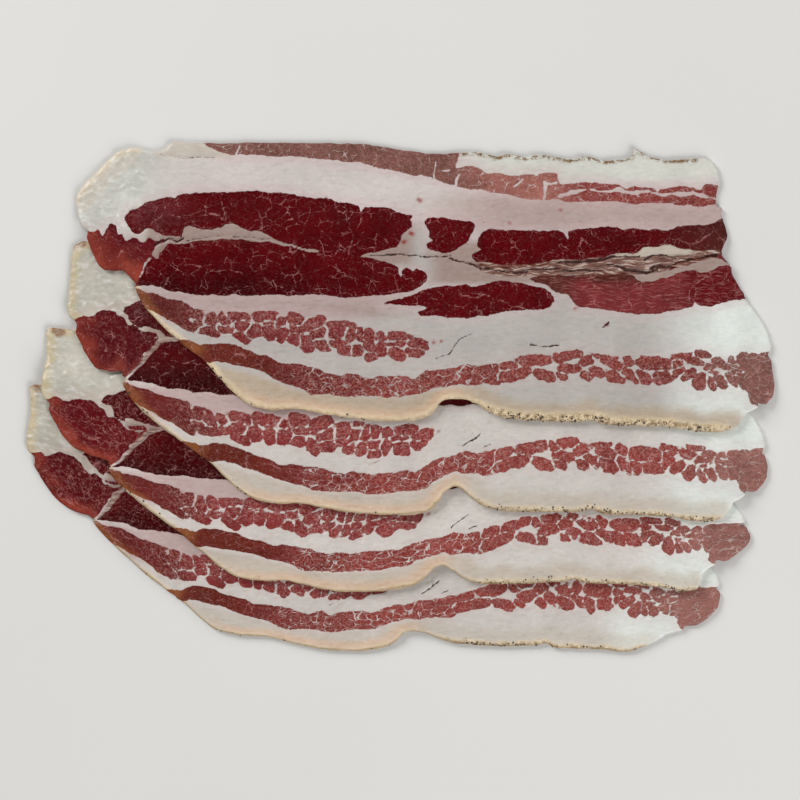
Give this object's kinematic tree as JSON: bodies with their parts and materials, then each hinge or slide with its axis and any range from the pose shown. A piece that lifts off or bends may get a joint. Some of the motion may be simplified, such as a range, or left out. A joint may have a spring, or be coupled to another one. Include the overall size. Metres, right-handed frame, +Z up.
{
  "type": "sliced bacon stack",
  "caption": "Overlapping long slices of dry-cured streaky bacon with a peppered rind edge, shingled so that each sags over those below.",
  "frame": {"origin": "centre of the stack's bounding box, on the floor that it lies on", "axes": "+X along the slices from their lean lobes to their blunt ends, +Y from the rind edges to the top edges, +Z up"},
  "size_m": [0.2691, 0.1844, 0.009],
  "materials": {
    "cured_pork_1": "moist satin fat and lean",
    "cured_pork_2": "moist satin fat and lean",
    "cured_pork_3": "moist satin fat and lean",
    "cured_pork_4": "moist satin fat and lean"
  },
  "bodies": {
    "root": {"slice_1": "cured_pork_1", "slice_2": "cured_pork_2", "slice_3": "cured_pork_3", "slice_4": "cured_pork_4"}
  },
  "joints": []
}
